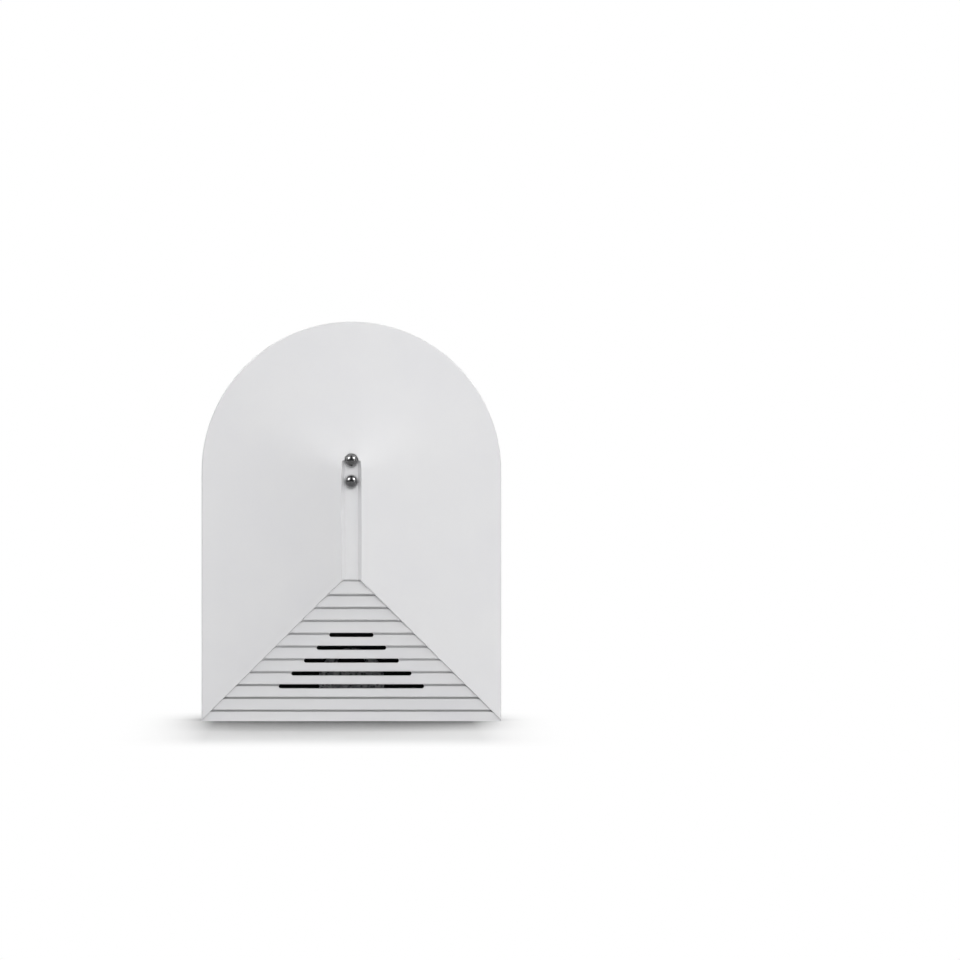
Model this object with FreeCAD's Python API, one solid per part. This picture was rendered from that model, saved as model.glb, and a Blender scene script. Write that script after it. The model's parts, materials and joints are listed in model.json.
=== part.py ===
import FreeCAD, Part
import math
import os

# Acoustic glass break sensor for a wall, in millimetres.
# The front faces -Y, +X is to the right seen from the front, +Z is up.
# The origin is the middle of the footprint, on the surface that the sensor stands on.
# Depth is counted from the wall towards the front, so y = BACK_Y - depth.

Vector = FreeCAD.Vector

# Outer form of the front cover
WIDTH = 66.0
HALF_WIDTH = WIDTH / 2
ARCH_CENTRE_Z = 55.0
OVERALL_DEPTH = 25.0
RIM_DEPTH = 15.0
RIDGE_LOST_IN_GROOVE = 0.4
RIDGE_DEPTH = OVERALL_DEPTH + RIDGE_LOST_IN_GROOVE
FLARE_RADIUS = 105.0
EDGE_BREAK = 0.25
COVER_WALL = 2.0
FLANK_WALL = 2.9
SKIRT_GAP = 0.4

# How far cutting bodies run past what they cut
BEYOND = 1.0

# Louvred triangle between the two hips
RIDGE_FOOT_DROP = 1.7
LOUVRE_TOP_Z = HALF_WIDTH - RIDGE_FOOT_DROP
FIRST_SLAT = 3.2
SLAT_COUNT = 11
LAST_LIP_DROP = 0.35
SLAT_PITCH = (LOUVRE_TOP_Z - FIRST_SLAT + LAST_LIP_DROP) / (SLAT_COUNT - 1)
HIP_SETBACK = 0.3
LIP_RECESS = 0.5
SLAT_LEAN = 0.3
LIP_BREAK = 0.15
UNDERCUT_HEIGHT = 0.45
UNDERCUT_DEPTH = 0.5
LOUVRE_THICKNESS = 3.4

# Narrow wall that falls away from each hip to the ends of the slats
HIP_STEP = 0.3
HIP_WALL_WIDTH = 0.7
HIP_WALL_FALL = 2.1

# Sound slots under five of the lips
SLOT_FIRST_LIP = 4
SLOT_COUNT = 5
SLOT_HEIGHT = 0.95
SLOT_FIRST_WIDTH = 9.7
SLOT_WIDTH_STEP = 5.58

# Groove along the ridge, with the two lights in it
LED_PROUD = 2.1
GROOVE_DEPTH = OVERALL_DEPTH - LED_PROUD
GROOVE_FLOOR_WIDTH = 2.86
GROOVE_DRAFT = 0.55
GROOVE_CROWN = 0.2
GROOVE_WALL = 1.6
LED_MIDDLE_Z = ARCH_CENTRE_Z
LED_PITCH = 4.58
LED_RADIUS = 1.45
LED_HOLE_GAP = 0.1
LED_FLANGE_RADIUS = 1.9
LED_FLANGE_HEIGHT = 1.0
LED_FLANGE_GAP = 0.6

# Back plate, set into the skirt of the cover
PLATE_THICKNESS = 2.0
PLATE_GAP = 0.25
PLATE_RIB_WALL = 1.2
PLATE_RIB_HEIGHT = 1.6
PLATE_RIB_LENGTH = 14.0
WALL_SCREW_RADIUS = 2.25
WALL_SCREW_TOP_Z = ARCH_CENTRE_Z + 19.0
WALL_SCREW_SPACING = 48.0
SCREW_WINDOW = 9.0
CABLE_ENTRY_RADIUS = 4.0
CABLE_ENTRY_X = -13.0
CABLE_ENTRY_Z = ARCH_CENTRE_Z + 15.0

# Top hooks and bottom catch that hold the cover on the plate
HOOK_X = 12.0
HOOK_WIDTH = 5.0
HOOK_STEM = 1.4
LEDGE_REACH = 1.5
LEDGE_THICKNESS = 1.3
HOOK_NOSE = 1.3
HOOK_OVERLAP = 0.8
FIT_GAP = 0.3
CATCH_WIDTH = 8.0
CATCH_STEM = 1.2
CATCH_Z = 3.0
CATCH_NOSE_DEPTH = 6.4
CATCH_NOSE = 1.4
CATCH_REACH = 0.7

# Circuit board, laid out from the arch centre down
BOARD_BACK_DEPTH = 4.5
BOARD_THICKNESS = 1.6
BOARD_SIDE_GAP = 3.0
BOARD_WIDTH = WIDTH - 2 * (COVER_WALL + BOARD_SIDE_GAP)
BOARD_BOTTOM_Z = 6.0
BOARD_TOP_Z = ARCH_CENTRE_Z + 7.0
BOARD_CORNER = 4.0
POST_INSET = 4.0
POST_X = BOARD_WIDTH / 2 - POST_INSET
POST_LOW_Z = BOARD_BOTTOM_Z + 3.5
POST_HIGH_Z = BOARD_TOP_Z - 5.5
POST_SIZE = 4.6
PEG_RADIUS = 1.2
PEG_GAP = 0.1
PEG_PROUD = 0.8
PIN_SIZE = 0.6
PIN_TAIL = 1.2
PIN_HOLE = 0.9

# Clips of the plate that hold the board by its sides
CLIP_Z = ARCH_CENTRE_Z - 37.0
CLIP_WIDTH = 4.0
CLIP_STEM = 1.2
CLIP_GAP = 0.2
CLIP_OVERLAP = 0.6
CLIP_NOSE = 0.9

# Light spacer
SPACER_WIDTH = 5.0
SPACER_END = 2.9
LED_LEAD_PITCH = 2.54

# Microphone in its rubber boot
BOOT_RADIUS = 7.3
BOOT_CENTRE_Z = 8.7
BOOT_BOTTOM_Z = 6.2
BOOT_HEIGHT = 5.7
BOOT_FRONT_WALL = 0.8
PORT_WIDTH = 6.8
PORT_HEIGHT = 3.2
CAPSULE_Z = 12.4
CAPSULE_RADIUS = 3.0
FELT_THICKNESS = 0.8
SEAT_GAP = 0.05

# Terminal block on the left
TERMINAL_X = -17.5
TERMINAL_Z = ARCH_CENTRE_Z - 17.6
TERMINAL_WAYS = 6
TERMINAL_PITCH = 3.5
TERMINAL_BODY_WIDTH = 7.0
TERMINAL_HEIGHT = 8.0
TERMINAL_SCREW_RADIUS = 1.1
TERMINAL_WELL = 2.5
TERMINAL_WELL_DEPTH = 3.0
TERMINAL_MOUTH = 2.3
TERMINAL_MOUTH_DROP = 1.0
TERMINAL_SCREW_LENGTH = 1.7
SCREW_SLOT_WIDTH = 0.6
SCREW_SLOT_DEPTH = 0.8

# Relay on the right
RELAY_X = 17.5
RELAY_Z = ARCH_CENTRE_Z - 15.6
RELAY_WIDTH = 7.5
RELAY_LENGTH = 15.0
RELAY_HEIGHT = 8.0
RELAY_PIN_PITCH = 5.08
CASE_BREAK = 0.4

# Tamper switch and its plunger
TAMPER_X = 20.0
TAMPER_Z = ARCH_CENTRE_Z - 36.0
TAMPER_SIZE = 6.2
TAMPER_BODY_HEIGHT = 4.0
PLUNGER_RADIUS = 1.6
PLUNGER_FIT = 0.06
PLUNGER_PROUD = 3.0
PLUNGER_BURIED = 2.4
PLUNGER_TRAVEL = 0.4
PLUNGER_STOP_GAP = 0.05
PRESS_POST_SIZE = 3.4

# Jumpers
JUMPER_X = 9.6
JUMPER_Z = ARCH_CENTRE_Z - 4.4
JUMPER_PAIRS = 3
JUMPER_PITCH = 2.54
JUMPER_BASE_HEIGHT = 2.5
JUMPER_PIN_HEIGHT = 8.0
JUMPER_CAP_HEIGHT = 5.4
JUMPER_CAP_WALL = 0.55

# Chips
CONTROLLER_X = 0.0
CONTROLLER_Z = ARCH_CENTRE_Z - 12.4
CONTROLLER_LENGTH = 12.8
CONTROLLER_WIDTH = 7.4
CONTROLLER_HEIGHT = 2.3
CONTROLLER_LEG_COUNT = 10
AMPLIFIER_X = -12.0
AMPLIFIER_Z = ARCH_CENTRE_Z - 35.0
AMPLIFIER_LENGTH = 4.9
AMPLIFIER_WIDTH = 3.9
AMPLIFIER_HEIGHT = 1.5
AMPLIFIER_LEG_COUNT = 4
LEG_PITCH = 1.27
LEG_WIDTH = 0.42
LEG_THICKNESS = 0.2
LEG_REACH = 1.2
CHIP_LIFT = 0.1

# Capacitors: name, x, z, radius, height
CAPACITORS = (
    ("reservoir_capacitor", 9.6, ARCH_CENTRE_Z - 22.0, 3.15, 8.0),
    ("filter_capacitor", -8.6, ARCH_CENTRE_Z - 21.6, 2.5, 7.0),
    ("coupling_capacitor", 9.6, ARCH_CENTRE_Z - 33.5, 2.0, 5.4),
)
CRYSTAL_Z = ARCH_CENTRE_Z - 19.8
CRYSTAL_LENGTH = 10.2
CRYSTAL_WIDTH = 3.8
CRYSTAL_HEIGHT = 3.5
VARISTOR_X = -9.6
VARISTOR_Z = ARCH_CENTRE_Z - 2.6
VARISTOR_RADIUS = 3.5
VARISTOR_THICKNESS = 2.8
REGULATOR_X = 9.6
REGULATOR_Z = ARCH_CENTRE_Z + 2.6
REGULATOR_RADIUS = 2.4
REGULATOR_FLAT = 1.3
REGULATOR_HEIGHT = 5.0
DIODE_X = 15.8
DIODE_ZS = (ARCH_CENTRE_Z - 29.6, ARCH_CENTRE_Z - 25.6)
DIODE_LENGTH = 4.3
DIODE_WIDTH = 2.6
DIODE_HEIGHT = 2.2
CHIP_LENGTH = 2.0
CHIP_WIDTH = 1.25
RESISTOR_HEIGHT = 0.5
CHIP_CAPACITOR_HEIGHT = 1.0
CHIP_ROW_PITCH = 2.6

# Rows of small surface parts: x of the first in a row and its distance under the arch centre
RESISTOR_ROWS = ((-11.4, 28.0), (-22.6, 37.0), (8.4, 38.6))
RESISTORS_IN_ROW = 3
CHIP_CAPACITOR_ROWS = ((-14.0, 40.0), (7.4, 28.4))
CHIP_CAPACITORS_IN_ROW = 2

BACK_Y = OVERALL_DEPTH / 2
TOP_Z = ARCH_CENTRE_Z + HALF_WIDTH
BOARD_FRONT_DEPTH = BOARD_BACK_DEPTH + BOARD_THICKNESS
CAVITY_CAP_DEPTH = GROOVE_DEPTH - GROOVE_WALL
LED_ZS = (LED_MIDDLE_Z + LED_PITCH / 2, LED_MIDDLE_Z - LED_PITCH / 2)
LED_BASE_DEPTH = CAVITY_CAP_DEPTH - LED_FLANGE_GAP - LED_FLANGE_HEIGHT
PLUNGER_TIP_DEPTH = BOARD_FRONT_DEPTH + TAMPER_BODY_HEIGHT + PLUNGER_PROUD
PLATE_EDGE = COVER_WALL + PLATE_GAP
HOOK_LEDGE_DEPTH = PLATE_THICKNESS + FIT_GAP
PEG_POSTS = ((-POST_X, POST_LOW_Z), (POST_X, POST_HIGH_Z))
PLAIN_POSTS = ((POST_X, POST_LOW_Z), (-POST_X, POST_HIGH_Z))
WALL_SCREWS = ((0.0, WALL_SCREW_TOP_Z), (0.0, WALL_SCREW_TOP_Z - WALL_SCREW_SPACING))


def at(x, depth, z):
    """A point from its place across, its depth from the wall and its height."""
    return Vector(x, BACK_Y - depth, z)


def block(x0, x1, d0, d1, z0, z1):
    """A box between two depths."""
    return Part.makeBox(x1 - x0, d1 - d0, z1 - z0, at(x0, d1, z0))


def centred_block(x, z, width, length, d0, d1):
    """A box between two depths, centred on a place on the board."""
    return block(x - width / 2, x + width / 2, d0, d1, z - length / 2, z + length / 2)


def rod(x, z, radius, d0, d1):
    """A round rod along the depth."""
    return Part.makeCylinder(radius, d1 - d0, at(x, d0, z), Vector(0, -1, 0))


def slab(outline, d0, d1):
    """A flat sheet from an outline of edges that lies at depth 0."""
    face = Part.Face(Part.Wire(outline))
    face.translate(Vector(0, -d0, 0))
    return face.extrude(Vector(0, d0 - d1, 0))


def line(a, b):
    return Part.LineSegment(a, b).toShape()


def arc(a, middle, b):
    return Part.Arc(a, middle, b).toShape()


def obround(x, z, width, height, d0, d1):
    """A bar with two round ends, wider than it is high."""
    r = height / 2
    half = width / 2 - r
    outline = [
        line(at(x - half, 0, z + r), at(x + half, 0, z + r)),
        arc(at(x + half, 0, z + r), at(x + half + r, 0, z), at(x + half, 0, z - r)),
        line(at(x + half, 0, z - r), at(x - half, 0, z - r)),
        arc(at(x - half, 0, z - r), at(x - half - r, 0, z), at(x - half, 0, z + r)),
    ]
    return slab(outline, d0, d1)


def joined(solids):
    """One solid from pieces that are moulded together."""
    whole = solids[0].multiFuse(solids[1:]) if len(solids) > 1 else solids[0]
    return whole.removeSplitter()


def flare_centre():
    """Centre of the flare's arc, as distance in from the rim and depth."""
    rise = RIDGE_DEPTH - RIM_DEPTH
    chord = math.hypot(HALF_WIDTH, rise)
    away = math.sqrt(FLARE_RADIUS ** 2 - chord ** 2 / 4)
    across = HALF_WIDTH / 2 - away * rise / chord
    depth = (RIM_DEPTH + RIDGE_DEPTH) / 2 + away * HALF_WIDTH / chord
    return across, depth


FLARE_ACROSS, FLARE_DEPTH = flare_centre()


def flare(inward, thickness=0.0):
    """Depth of the flared front at a distance in from the rim, or of a surface behind it."""
    radius = FLARE_RADIUS + thickness
    return FLARE_DEPTH - math.sqrt(radius ** 2 - (inward - FLARE_ACROSS) ** 2)


def flare_edges(place, side, thickness, edge_break):
    """Front line of a section, from the side wall to the ridge; place turns it into points."""
    start = side + edge_break
    middle = (start + HALF_WIDTH) / 2
    a = place(start, flare(start, thickness))
    b = place(middle, flare(middle, thickness))
    edges = [arc(a, b, place(HALF_WIDTH, flare(HALF_WIDTH, thickness)))]
    if edge_break > 0:
        low = place(side, flare(start, thickness) - edge_break)
        edges.insert(0, line(low, a))
    return edges


def flank_section(side, thickness, edge_break, back):
    """Half section of the form at the height of the arch centre, on the left."""

    def place(inward, depth):
        return at(inward - HALF_WIDTH, depth, ARCH_CENTRE_Z)

    front = flare_edges(place, side, thickness, edge_break)
    if thickness > 0:
        front = [line(front[0].Vertexes[0].Point, front[-1].Vertexes[1].Point)]
    rim = front[0].Vertexes[0].Point
    ridge = place(HALF_WIDTH, flare(HALF_WIDTH, thickness))
    edges = [line(place(side, back), rim)]
    edges += front
    edges.append(line(ridge, place(HALF_WIDTH, back)))
    edges.append(line(place(HALF_WIDTH, back), place(side, back)))
    return Part.Face(Part.Wire(edges))


def bottom_section(side, thickness, edge_break, back):
    """Section from bottom to top that mitres the flanks with the same flare from below."""
    x = -HALF_WIDTH - BEYOND
    beyond = RIDGE_DEPTH + BEYOND
    top = TOP_Z + BEYOND

    def place(inward, depth):
        return at(x, depth, inward)

    front = flare_edges(place, side, thickness, edge_break)
    rim = front[0].Vertexes[0].Point
    ridge = place(HALF_WIDTH, flare(HALF_WIDTH, thickness))
    edges = [line(place(side, back), rim)]
    edges += front
    edges.append(line(ridge, place(HALF_WIDTH, beyond)))
    edges.append(line(place(HALF_WIDTH, beyond), place(top, beyond)))
    edges.append(line(place(top, beyond), place(top, back)))
    edges.append(line(place(top, back), place(side, back)))
    face = Part.Face(Part.Wire(edges))
    return face.extrude(Vector(WIDTH + 2 * BEYOND, 0, 0))


def flared_form(side, thickness, low_thickness, edge_break, back):
    """The arched body with a ridge, two flanks and a mitred bottom flank, as one solid."""
    section = flank_section(side, thickness, edge_break, back)
    top = section.revolve(Vector(0, 0, ARCH_CENTRE_Z), Vector(0, 1, 0), 180)
    left = section.extrude(Vector(0, 0, side - ARCH_CENTRE_Z))
    right = left.mirror(Vector(0, 0, 0), Vector(1, 0, 0))
    whole = top.multiFuse([left, right]).removeSplitter()
    return whole.common(bottom_section(side, low_thickness, edge_break, back))


def lip_z(k):
    """Height of a louvre lip: 0 is the end of the groove, the others lie below the first slat."""
    if k == 0:
        return LOUVRE_TOP_Z
    return LOUVRE_TOP_Z - FIRST_SLAT - SLAT_PITCH * (k - 1)


def lip_depth(k):
    return flare(lip_z(k)) - LIP_RECESS


def slat_top_depth(k):
    """Depth of a slat where it starts: it leans back a little from there to its own lip."""
    return lip_depth(k + 1) + SLAT_LEAN


def louvre_section():
    """Side section of the slats: each ends in a lip, and a narrow undercut parts it from the next."""
    x = -HALF_WIDTH - BEYOND
    corners = [at(x, 0, LOUVRE_TOP_Z)]
    for k in range(SLAT_COUNT):
        top = slat_top_depth(k)
        corners.append(at(x, top - UNDERCUT_DEPTH, lip_z(k)))
        corners.append(at(x, top - UNDERCUT_DEPTH, lip_z(k) - UNDERCUT_HEIGHT))
        corners.append(at(x, top, lip_z(k) - UNDERCUT_HEIGHT))
        lip = lip_depth(k + 1)
        corners.append(at(x, lip, lip_z(k + 1) + LIP_BREAK))
        corners.append(at(x, lip - LIP_BREAK, lip_z(k + 1)))
    corners.append(at(x, 0, lip_z(SLAT_COUNT)))
    corners.append(corners[0])
    face = Part.Face(Part.makePolygon(corners))
    return face.extrude(Vector(WIDTH + 2 * BEYOND, 0, 0))


def hip_wall():
    """Material left beside the left hip: its front falls away inwards, all along the hip's curve."""

    def hip(z):
        return at(z - HALF_WIDTH - HIP_SETBACK, flare(z) - HIP_STEP, z)

    low = hip(lip_z(SLAT_COUNT))
    top = hip(LOUVRE_TOP_Z)
    middle = hip((low.z + top.z) / 2)
    low_back = at(low.x, 0, low.z)
    top_back = at(top.x, 0, top.z)
    outline = [arc(low, middle, top), line(top, top_back), line(top_back, low_back), line(low_back, low)]
    face = Part.Face(Part.Wire(outline))
    return face.extrude(Vector(HIP_WALL_WIDTH, HIP_WALL_FALL, 0))


def louvre_cutter():
    """What is taken off the bottom flank between the hips, down to the slats."""
    reach = HALF_WIDTH + HIP_SETBACK
    low = lip_z(SLAT_COUNT)
    top_half = reach - LOUVRE_TOP_Z
    low_half = reach - low
    outline = [
        line(at(-low_half, 0, low), at(low_half, 0, low)),
        line(at(low_half, 0, low), at(top_half, 0, LOUVRE_TOP_Z)),
        line(at(top_half, 0, LOUVRE_TOP_Z), at(-top_half, 0, LOUVRE_TOP_Z)),
        line(at(-top_half, 0, LOUVRE_TOP_Z), at(-low_half, 0, low)),
    ]
    triangle = slab(outline, COVER_WALL, RIDGE_DEPTH + BEYOND)
    left = hip_wall()
    right = left.mirror(Vector(0, 0, 0), Vector(1, 0, 0))
    return triangle.cut(louvre_section()).cut(left).cut(right)


def groove_cutter():
    """Drafted groove down the ridge with a softly crowned floor; it ends at the upper light."""
    half = GROOVE_FLOOR_WIDTH / 2
    rise = RIDGE_DEPTH + BEYOND - GROOVE_DEPTH
    wide = half + rise * GROOVE_DRAFT
    high = GROOVE_DEPTH + rise
    z = LOUVRE_TOP_Z
    edges = [
        arc(at(-half, GROOVE_DEPTH, z), at(0, GROOVE_DEPTH + GROOVE_CROWN, z), at(half, GROOVE_DEPTH, z)),
        line(at(half, GROOVE_DEPTH, z), at(wide, high, z)),
        line(at(wide, high, z), at(-wide, high, z)),
        line(at(-wide, high, z), at(-half, GROOVE_DEPTH, z)),
    ]
    return Part.Face(Part.Wire(edges)).extrude(Vector(0, 0, LED_ZS[0] - z))


def slot_cutters():
    """Sound slots through the wall, each just under a lip."""
    cutters = []
    for i in range(SLOT_COUNT):
        k = SLOT_FIRST_LIP + i
        width = SLOT_FIRST_WIDTH + SLOT_WIDTH_STEP * i
        z = lip_z(k) - SLOT_HEIGHT / 2
        cutters.append(centred_block(0, z, width, SLOT_HEIGHT, COVER_WALL, lip_depth(k) + BEYOND))
    return cutters


def arch_outline(inset):
    """Outline of the sensor seen from the front, moved in all round."""
    half = HALF_WIDTH - inset
    return [
        line(at(-half, 0, inset), at(half, 0, inset)),
        line(at(half, 0, inset), at(half, 0, ARCH_CENTRE_Z)),
        arc(at(half, 0, ARCH_CENTRE_Z), at(0, 0, ARCH_CENTRE_Z + half), at(-half, 0, ARCH_CENTRE_Z)),
        line(at(-half, 0, ARCH_CENTRE_Z), at(-half, 0, inset)),
    ]


def arch_height(x, inset):
    """Height of the arched outline at a place across."""
    return ARCH_CENTRE_Z + math.sqrt((HALF_WIDTH - inset) ** 2 - x ** 2)


def cover_ledges():
    """Two small ledges inside the arch, which the hooks of the plate hold."""
    ledges = []
    for x in (-HOOK_X, HOOK_X):
        outer = abs(x) + HOOK_WIDTH / 2
        low = arch_height(outer, COVER_WALL) - LEDGE_REACH
        d1 = HOOK_LEDGE_DEPTH + LEDGE_THICKNESS
        ledges.append(block(x - HOOK_WIDTH / 2, x + HOOK_WIDTH / 2, HOOK_LEDGE_DEPTH, d1, low, TOP_Z))
    return ledges


def front_cover():
    outer = flared_form(0, 0, 0, EDGE_BREAK, SKIRT_GAP)
    cavity = flared_form(COVER_WALL, FLANK_WALL, LOUVRE_THICKNESS, 0, -BEYOND)
    cap = block(-HALF_WIDTH, HALF_WIDTH, -2 * BEYOND, CAVITY_CAP_DEPTH, 0, TOP_Z)
    cavity = cavity.common(cap)
    press_end = PLUNGER_TIP_DEPTH + PLUNGER_STOP_GAP
    press = centred_block(TAMPER_X, TAMPER_Z, PRESS_POST_SIZE, PRESS_POST_SIZE, press_end, RIDGE_DEPTH)
    cavity = cavity.cut(Part.makeCompound(cover_ledges() + [press]))
    window_low = CATCH_NOSE_DEPTH - FIT_GAP
    window_high = CATCH_NOSE_DEPTH + CATCH_NOSE + FIT_GAP
    half = CATCH_WIDTH / 2 + FIT_GAP
    window = block(-half, half, window_low, window_high, -BEYOND, COVER_WALL + BEYOND)
    hole = LED_RADIUS + LED_HOLE_GAP
    holes = [rod(0, z, hole, CAVITY_CAP_DEPTH - BEYOND, OVERALL_DEPTH) for z in LED_ZS]
    cover = outer.cut(louvre_cutter())
    cover = cover.cut(groove_cutter())
    cover = cover.cut(cavity)
    for cutter in slot_cutters() + holes + [window]:
        cover = cover.cut(cutter)
    return cover.removeSplitter()


def plate_hooks():
    """Stems from the plate with noses that reach over the ledges of the cover."""
    parts = []
    nose_depth = HOOK_LEDGE_DEPTH + LEDGE_THICKNESS + FIT_GAP
    for x in (-HOOK_X, HOOK_X):
        outer = abs(x) + HOOK_WIDTH / 2
        ledge_low = arch_height(outer, COVER_WALL) - LEDGE_REACH
        top = ledge_low - FIT_GAP
        x0 = x - HOOK_WIDTH / 2
        x1 = x + HOOK_WIDTH / 2
        end = nose_depth + HOOK_NOSE
        parts.append(block(x0, x1, PLATE_THICKNESS, end, top - HOOK_STEM, top))
        parts.append(block(x0, x1, nose_depth, end, top - HOOK_STEM, ledge_low + HOOK_OVERLAP))
    return parts


def plate_catch():
    """Springy tongue at the bottom with a nose that sits in the window of the cover."""
    half = CATCH_WIDTH / 2
    end = CATCH_NOSE_DEPTH + CATCH_NOSE
    stem = block(-half, half, PLATE_THICKNESS, end, CATCH_Z, CATCH_Z + CATCH_STEM)
    nose = block(-half, half, CATCH_NOSE_DEPTH, end, CATCH_REACH, CATCH_Z + CATCH_STEM)
    return [stem, nose]


def plate_ribs():
    """Short ribs that keep the skirt of the cover in place all round."""
    outer = HALF_WIDTH - PLATE_EDGE - FIT_GAP
    low = PLATE_EDGE + FIT_GAP
    end = PLATE_THICKNESS + PLATE_RIB_HEIGHT
    half = PLATE_RIB_LENGTH / 2
    ribs = []
    for side in (-1, 1):
        across = side * (outer - PLATE_RIB_WALL / 2)
        along = side * outer / 2
        ribs.append(centred_block(across, ARCH_CENTRE_Z / 2, PLATE_RIB_WALL, half * 2, 0, end))
        ribs.append(block(along - half, along + half, 0, end, low, low + PLATE_RIB_WALL))
    return ribs


def board_clips():
    """Two clips that snap over the sides of the board."""
    inner = BOARD_WIDTH / 2 + CLIP_GAP
    outer = inner + CLIP_STEM
    over = BOARD_WIDTH / 2 - CLIP_OVERLAP
    nose = BOARD_FRONT_DEPTH + CLIP_GAP
    z0 = CLIP_Z - CLIP_WIDTH / 2
    z1 = CLIP_Z + CLIP_WIDTH / 2
    parts = []
    for side in (-1, 1):
        x0, x1 = sorted((side * inner, side * outer))
        n0, n1 = sorted((side * over, side * outer))
        parts.append(block(x0, x1, 0, nose + CLIP_NOSE, z0, z1))
        parts.append(block(n0, n1, nose, nose + CLIP_NOSE, z0, z1))
    return parts


def back_plate():
    parts = [slab(arch_outline(PLATE_EDGE), 0, PLATE_THICKNESS)]
    for x, z in PEG_POSTS + PLAIN_POSTS:
        parts.append(centred_block(x, z, POST_SIZE, POST_SIZE, 0, BOARD_BACK_DEPTH))
    for x, z in PEG_POSTS:
        parts.append(rod(x, z, PEG_RADIUS, BOARD_BACK_DEPTH - BEYOND, BOARD_FRONT_DEPTH + PEG_PROUD))
    parts += plate_ribs() + board_clips() + plate_hooks() + plate_catch()
    cutters = []
    for x, z in WALL_SCREWS:
        cutters.append(rod(x, z, WALL_SCREW_RADIUS, -BEYOND, PLATE_THICKNESS + BEYOND))
    x, z = CABLE_ENTRY_X, CABLE_ENTRY_Z
    cutters.append(rod(x, z, CABLE_ENTRY_RADIUS, -BEYOND, PLATE_THICKNESS + BEYOND))
    return joined(parts).cut(Part.makeCompound(cutters))


def led_pin_places():
    return [(side * LED_LEAD_PITCH / 2, z) for z in LED_ZS for side in (-1, 1)]


def terminal_places():
    first = TERMINAL_Z - TERMINAL_PITCH * (TERMINAL_WAYS - 1) / 2
    return [(TERMINAL_X, first + TERMINAL_PITCH * i) for i in range(TERMINAL_WAYS)]


def relay_pin_places():
    places = []
    for side in (-1, 1):
        for step in (-1, 0, 1):
            places.append((RELAY_X + side * RELAY_PIN_PITCH / 2, RELAY_Z + step * RELAY_PIN_PITCH))
    return places


def tamper_pin_places():
    off = TAMPER_SIZE / 2 - PIN_SIZE
    return [(TAMPER_X + a * off, TAMPER_Z + b * off) for a in (-1, 1) for b in (-1, 1)]


def jumper_places():
    places = []
    for i in range(JUMPER_PAIRS):
        for row in (-1, 1):
            places.append((JUMPER_X + JUMPER_PITCH * i, JUMPER_Z + row * JUMPER_PITCH / 2))
    return places


def capsule_pin_places():
    return [(side * LED_LEAD_PITCH / 2, CAPSULE_Z) for side in (-1, 1)]


def pins(places, top_depth):
    """Square pins through the board, up to a given depth."""
    low = BOARD_BACK_DEPTH - PIN_TAIL
    return Part.makeCompound([centred_block(x, z, PIN_SIZE, PIN_SIZE, low, top_depth) for x, z in places])


def circuit_board():
    half = BOARD_WIDTH / 2
    body = block(-half, half, BOARD_BACK_DEPTH, BOARD_FRONT_DEPTH, BOARD_BOTTOM_Z, BOARD_TOP_Z)
    corners = [e for e in body.Edges if abs(e.Length - BOARD_THICKNESS) < 1e-6]
    body = body.makeChamfer(BOARD_CORNER, corners)
    low = BOARD_BACK_DEPTH - BEYOND
    high = BOARD_FRONT_DEPTH + BEYOND
    holes = [rod(x, z, PEG_RADIUS + PEG_GAP, low, high) for x, z in PEG_POSTS]
    x, z = WALL_SCREWS[1]
    holes.append(centred_block(x, z, SCREW_WINDOW, SCREW_WINDOW, low, high))
    places = led_pin_places() + terminal_places() + relay_pin_places()
    places += tamper_pin_places() + jumper_places() + capsule_pin_places()
    for x, z in places:
        holes.append(centred_block(x, z, PIN_HOLE, PIN_HOLE, low, high))
    return body.cut(Part.makeCompound(holes))


def light(z):
    """Round light with a flange, a straight neck and a domed tip."""
    flange_end = LED_BASE_DEPTH + LED_FLANGE_HEIGHT
    flange = rod(0, z, LED_FLANGE_RADIUS, LED_BASE_DEPTH, flange_end)
    neck_end = OVERALL_DEPTH - LED_RADIUS
    neck = rod(0, z, LED_RADIUS, LED_BASE_DEPTH, neck_end)
    dome = Part.makeSphere(LED_RADIUS, at(0, neck_end, z))
    return joined([flange, neck, dome])


def led_spacer():
    """Nylon spacer that carries both lights at their height above the board."""
    height = LED_PITCH + 2 * SPACER_END
    body = obround(0, LED_MIDDLE_Z, height, SPACER_WIDTH, BOARD_FRONT_DEPTH, LED_BASE_DEPTH)
    body.rotate(at(0, 0, LED_MIDDLE_Z), Vector(0, 1, 0), 90)
    bores = []
    for x, z in led_pin_places():
        d0 = BOARD_FRONT_DEPTH - BEYOND
        bores.append(centred_block(x, z, PIN_HOLE, PIN_HOLE, d0, LED_BASE_DEPTH + BEYOND))
    return body.cut(Part.makeCompound(bores))


def boot_disc(radius, d0, d1):
    disc = rod(0, BOOT_CENTRE_Z, radius, d0, d1)
    return disc.common(block(-WIDTH, WIDTH, d0, d1, BOOT_BOTTOM_Z, TOP_Z))


def mic_depths():
    """Depths of the capsule front, the felt front and the boot front."""
    boot_front = BOARD_FRONT_DEPTH + BOOT_HEIGHT
    felt_front = boot_front - BOOT_FRONT_WALL
    return felt_front - FELT_THICKNESS, felt_front, boot_front


def mic_boot():
    capsule_front, felt_front, boot_front = mic_depths()
    body = boot_disc(BOOT_RADIUS, BOARD_FRONT_DEPTH, boot_front)
    pocket = rod(0, CAPSULE_Z, CAPSULE_RADIUS + SEAT_GAP, BOARD_FRONT_DEPTH - BEYOND, felt_front)
    low = felt_front - BEYOND
    port = obround(0, CAPSULE_Z + SLOT_HEIGHT, PORT_WIDTH, PORT_HEIGHT, low, boot_front + BEYOND)
    return body.cut(pocket).cut(port)


def mic_capsule():
    capsule_front = mic_depths()[0]
    return rod(0, CAPSULE_Z, CAPSULE_RADIUS, BOARD_FRONT_DEPTH + FIT_GAP, capsule_front)


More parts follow.
